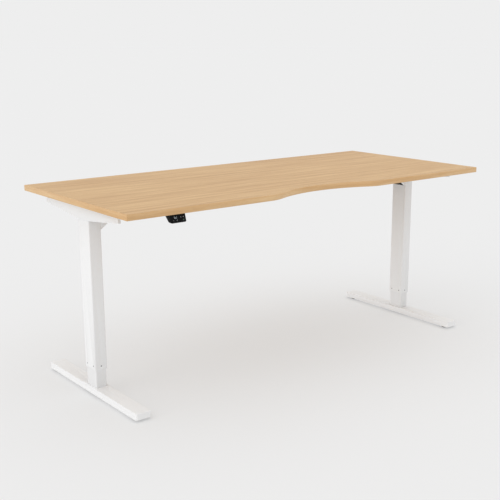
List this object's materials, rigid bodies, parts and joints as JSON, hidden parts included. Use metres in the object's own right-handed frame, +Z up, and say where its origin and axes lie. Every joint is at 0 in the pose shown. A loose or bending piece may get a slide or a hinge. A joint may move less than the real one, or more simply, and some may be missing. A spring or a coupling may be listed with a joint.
{
  "type": "height adjustable standing desk",
  "caption": "Two-column electric standing desk: wood-look top with a scooped front edge on a white steel T-leg frame, with a push-button handset under the front edge.",
  "frame": {"origin": "on the floor, under the middle of the desktop's width and depth, with the desk in its stored height of 760 mm", "axes": "+X to the right of the person at the desk, along the long side; +Y from the person towards the back edge, so the scoop and the handset are on the -Y side; +Z up"},
  "size_m": [1.8, 0.8, 0.76],
  "materials": {
    "desktop_laminate": "satin beech laminate with fine lengthwise grain",
    "edge_laminate": "satin edge band, beech print",
    "white_paint": "fine white powder coat",
    "white_paint_inner": "smooth white powder coat",
    "zinc_steel": "zinc plated",
    "ground_steel": "ground and oiled",
    "grey_slider": "moulded grey",
    "nut_polymer": "natural moulded polymer",
    "black_housing": "fine spark texture",
    "motor_enamel": "black enamel",
    "glide_rubber": "matte black",
    "pad_rubber": "matte",
    "circuit_board": "green solder resist",
    "panel_gloss": "gloss black",
    "display_smoke": "smoked window",
    "button_black": "satin black",
    "lead_sheath": "matte black",
    "clip_white": "moulded white"
  },
  "bodies": {
    "base": {"foot_beam_left": "white_paint", "foot_beam_right": "white_paint", "foot_plates": "zinc_steel", "lower_tube_left": "white_paint_inner", "lower_tube_right": "white_paint_inner", "upper_slide_pads": "grey_slider", "spindle_nut_left": "nut_polymer", "spindle_nut_right": "nut_polymer", "glide_nuts": "zinc_steel", "foot_bolts": "zinc_steel"},
    "lifting_frame": {"tabletop": "desktop_laminate", "edge_band": "edge_laminate", "upper_tube_left": "white_paint", "upper_tube_right": "white_paint", "lower_slide_pad_left": "grey_slider", "lower_slide_pad_right": "grey_slider", "spindle_bearings": "ground_steel", "gearbox_left": "black_housing", "gearbox_right": "black_housing", "motor_left": "motor_enamel", "motor_right": "motor_enamel", "motor_cover_left": "black_housing", "motor_cover_right": "black_housing", "column_head_left": "white_paint", "column_head_right": "white_paint", "side_bracket_left": "white_paint", "side_bracket_right": "white_paint", "crossbeam": "white_paint", "damping_pads": "pad_rubber", "control_case": "black_housing", "control_lid": "black_housing", "control_board": "circuit_board", "mains_inlet": "black_housing", "lead_sockets": "nut_polymer", "handset_case": "black_housing", "handset_panel": "panel_gloss", "display_window": "display_smoke", "handset_board": "circuit_board", "motor_lead_left": "lead_sheath", "motor_lead_right": "lead_sheath", "handset_lead": "lead_sheath", "lead_clips": "clip_white", "desktop_screws": "zinc_steel", "frame_bolts": "zinc_steel"},
    "screw_left": {"spindle_left": "ground_steel", "bevel_gear_left": "ground_steel"},
    "pinion_left": {"bevel_pinion_left": "ground_steel"},
    "screw_right": {"spindle_right": "ground_steel", "bevel_gear_right": "ground_steel"},
    "pinion_right": {"bevel_pinion_right": "ground_steel"},
    "glide_front_left": {"glide_front_left": "glide_rubber"},
    "glide_back_left": {"glide_back_left": "glide_rubber"},
    "glide_front_right": {"glide_front_right": "glide_rubber"},
    "glide_back_right": {"glide_back_right": "glide_rubber"},
    "button_up": {"button_up": "button_black"},
    "button_down": {"button_down": "button_black"},
    "button_one": {"button_one": "button_black"},
    "button_two": {"button_two": "button_black"},
    "button_memory": {"button_memory": "button_black"}
  },
  "joints": [
    {"name": "lift", "type": "slide", "parent": "base", "child": "lifting_frame", "axis": [0, 0, 1], "range_m": [-0.055, 0.425]},
    {"name": "screw_turn_left", "type": "hinge", "parent": "lifting_frame", "child": "screw_left", "pos_m": [-0.837, -0.014, 0.4], "axis": [0, 0, 1], "range_deg": [-1990, 15310]},
    {"name": "pinion_turn_left", "type": "hinge", "parent": "lifting_frame", "child": "pinion_left", "pos_m": [-0.807, -0.014, 0.704], "axis": [1, 0, 0], "range_deg": [-3975, 30615]},
    {"name": "screw_turn_right", "type": "hinge", "parent": "lifting_frame", "child": "screw_right", "pos_m": [0.837, -0.014, 0.4], "axis": [0, 0, 1], "range_deg": [-1990, 15310]},
    {"name": "pinion_turn_right", "type": "hinge", "parent": "lifting_frame", "child": "pinion_right", "pos_m": [0.807, -0.014, 0.704], "axis": [1, 0, 0], "range_deg": [-30615, 3975]},
    {"name": "glide_front_left_screw", "type": "slide", "parent": "base", "child": "glide_front_left", "axis": [0, 0, -1], "range_m": [0, 0.01]},
    {"name": "glide_back_left_screw", "type": "slide", "parent": "base", "child": "glide_back_left", "axis": [0, 0, -1], "range_m": [0, 0.01]},
    {"name": "glide_front_right_screw", "type": "slide", "parent": "base", "child": "glide_front_right", "axis": [0, 0, -1], "range_m": [0, 0.01]},
    {"name": "glide_back_right_screw", "type": "slide", "parent": "base", "child": "glide_back_right", "axis": [0, 0, -1], "range_m": [0, 0.01]},
    {"name": "button_up_push", "type": "slide", "parent": "lifting_frame", "child": "button_up", "axis": [0, 0.9511, -0.309], "range_m": [0, 0.0008], "stiffness_N_per_m": 400},
    {"name": "button_down_push", "type": "slide", "parent": "lifting_frame", "child": "button_down", "axis": [0, 0.9511, -0.309], "range_m": [0, 0.0008], "stiffness_N_per_m": 400},
    {"name": "button_one_push", "type": "slide", "parent": "lifting_frame", "child": "button_one", "axis": [0, 0.9511, -0.309], "range_m": [0, 0.0008], "stiffness_N_per_m": 400},
    {"name": "button_two_push", "type": "slide", "parent": "lifting_frame", "child": "button_two", "axis": [0, 0.9511, -0.309], "range_m": [0, 0.0008], "stiffness_N_per_m": 400},
    {"name": "button_memory_push", "type": "slide", "parent": "lifting_frame", "child": "button_memory", "axis": [0, 0.9511, -0.309], "range_m": [0, 0.0008], "stiffness_N_per_m": 400}
  ],
  "couplings": [
    {"joint": "screw_turn_left", "follows": "lift", "rad_per_m": 628.32},
    {"joint": "pinion_turn_left", "follows": "lift", "rad_per_m": 1256.6},
    {"joint": "screw_turn_right", "follows": "lift", "rad_per_m": 628.32},
    {"joint": "pinion_turn_right", "follows": "lift", "rad_per_m": -1256.6}
  ]
}
